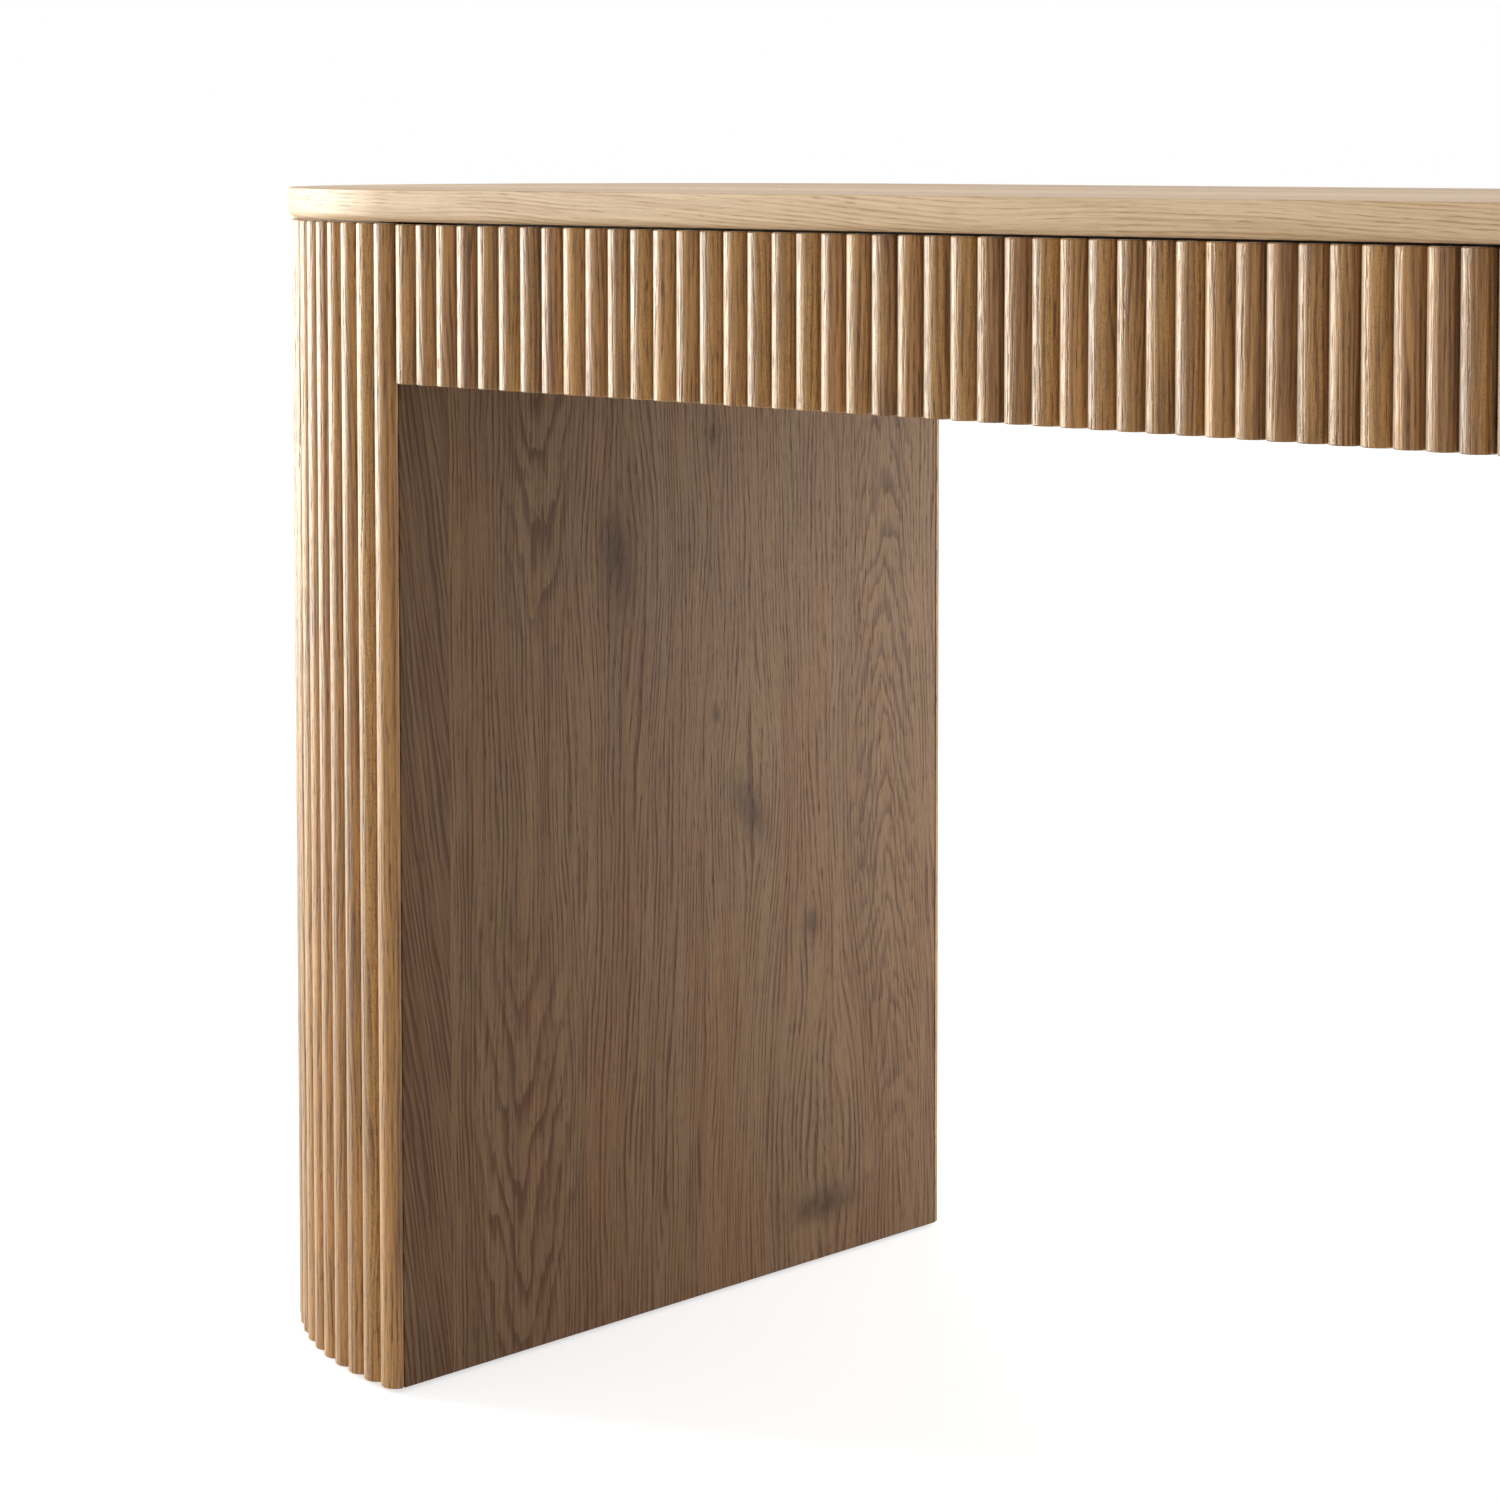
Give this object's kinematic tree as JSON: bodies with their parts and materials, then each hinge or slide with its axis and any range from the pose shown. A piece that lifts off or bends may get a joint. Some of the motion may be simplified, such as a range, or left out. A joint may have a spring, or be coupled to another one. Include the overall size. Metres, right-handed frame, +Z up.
{
  "type": "writing desk",
  "caption": "Oak writing desk with a round-ended top on half-round reeded legs, and reeded handleless drawers on ball-bearing slides.",
  "frame": {"origin": "on the floor under the middle of the top", "axes": "+X along the desk to the right of someone seated at it, +Y to the back, +Z up"},
  "size_m": [2.133, 0.53, 0.762],
  "materials": {
    "oak_top": "satin",
    "oak_reeds": "satin",
    "oak_veneer": "satin",
    "case_board": "satin",
    "plywood": "raw",
    "drawer_wood": "matte lacquer",
    "beech": "raw",
    "zinc_steel": "zinc plated",
    "bearing_steel": "polished",
    "felt": "felt"
  },
  "bodies": {
    "desk": {"back_reeds": "oak_reeds", "case_back": "case_board", "case_bottom": "case_board", "case_divider": "case_board", "case_left_side": "case_board", "case_right_side": "case_board", "case_screws": "zinc_steel", "case_top_rails": "case_board", "desktop": "oak_top", "fixed_rail_screws": "zinc_steel", "left_drawer_left_fixed_rail": "zinc_steel", "left_drawer_right_fixed_rail": "zinc_steel", "left_leg_glides": "felt", "left_leg_panel": "oak_veneer", "left_leg_reeds": "oak_reeds", "left_leg_ribs": "plywood", "left_leg_skin": "plywood", "leg_bolts": "zinc_steel", "leg_inserts": "zinc_steel", "right_drawer_left_fixed_rail": "zinc_steel", "right_drawer_right_fixed_rail": "zinc_steel", "right_leg_glides": "felt", "right_leg_panel": "oak_veneer", "right_leg_reeds": "oak_reeds", "right_leg_ribs": "plywood", "right_leg_skin": "plywood", "top_screws": "zinc_steel"},
    "left_drawer": {"left_drawer_front": "case_board", "left_drawer_reeds": "oak_reeds", "left_drawer_left_side": "drawer_wood", "left_drawer_right_side": "drawer_wood", "left_drawer_back": "drawer_wood", "left_drawer_bottom": "drawer_wood", "left_drawer_dowels": "beech", "left_drawer_left_moving_rail": "zinc_steel", "left_drawer_right_moving_rail": "zinc_steel", "left_drawer_rail_screws": "zinc_steel"},
    "left_middle_rails": {"left_drawer_left_middle_rail": "zinc_steel", "left_drawer_right_middle_rail": "zinc_steel"},
    "left_outer_cages": {"left_drawer_outer_cages": "zinc_steel", "left_drawer_outer_balls": "bearing_steel"},
    "left_inner_cages": {"left_drawer_inner_cages": "zinc_steel", "left_drawer_inner_balls": "bearing_steel"},
    "right_drawer": {"right_drawer_front": "case_board", "right_drawer_reeds": "oak_reeds", "right_drawer_left_side": "drawer_wood", "right_drawer_right_side": "drawer_wood", "right_drawer_back": "drawer_wood", "right_drawer_bottom": "drawer_wood", "right_drawer_dowels": "beech", "right_drawer_left_moving_rail": "zinc_steel", "right_drawer_right_moving_rail": "zinc_steel", "right_drawer_rail_screws": "zinc_steel"},
    "right_middle_rails": {"right_drawer_left_middle_rail": "zinc_steel", "right_drawer_right_middle_rail": "zinc_steel"},
    "right_outer_cages": {"right_drawer_outer_cages": "zinc_steel", "right_drawer_outer_balls": "bearing_steel"},
    "right_inner_cages": {"right_drawer_inner_cages": "zinc_steel", "right_drawer_inner_balls": "bearing_steel"}
  },
  "joints": [
    {"name": "left_drawer_slide", "type": "slide", "parent": "desk", "child": "left_drawer", "axis": [0, -1, 0], "range_m": [0, 0.4]},
    {"name": "left_middle_slide", "type": "slide", "parent": "desk", "child": "left_middle_rails", "axis": [0, -1, 0], "range_m": [0, 0.201]},
    {"name": "left_outer_cage_roll", "type": "slide", "parent": "desk", "child": "left_outer_cages", "axis": [0, -1, 0], "range_m": [0, 0.101]},
    {"name": "left_inner_cage_roll", "type": "slide", "parent": "desk", "child": "left_inner_cages", "axis": [0, -1, 0], "range_m": [0, 0.301]},
    {"name": "right_drawer_slide", "type": "slide", "parent": "desk", "child": "right_drawer", "axis": [0, -1, 0], "range_m": [0, 0.4]},
    {"name": "right_middle_slide", "type": "slide", "parent": "desk", "child": "right_middle_rails", "axis": [0, -1, 0], "range_m": [0, 0.201]},
    {"name": "right_outer_cage_roll", "type": "slide", "parent": "desk", "child": "right_outer_cages", "axis": [0, -1, 0], "range_m": [0, 0.101]},
    {"name": "right_inner_cage_roll", "type": "slide", "parent": "desk", "child": "right_inner_cages", "axis": [0, -1, 0], "range_m": [0, 0.301]}
  ],
  "couplings": [
    {"joint": "left_middle_slide", "follows": "left_drawer_slide", "ratio": 0.5},
    {"joint": "left_outer_cage_roll", "follows": "left_drawer_slide", "ratio": 0.25},
    {"joint": "left_inner_cage_roll", "follows": "left_drawer_slide", "ratio": 0.75},
    {"joint": "right_middle_slide", "follows": "right_drawer_slide", "ratio": 0.5},
    {"joint": "right_outer_cage_roll", "follows": "right_drawer_slide", "ratio": 0.25},
    {"joint": "right_inner_cage_roll", "follows": "right_drawer_slide", "ratio": 0.75}
  ]
}
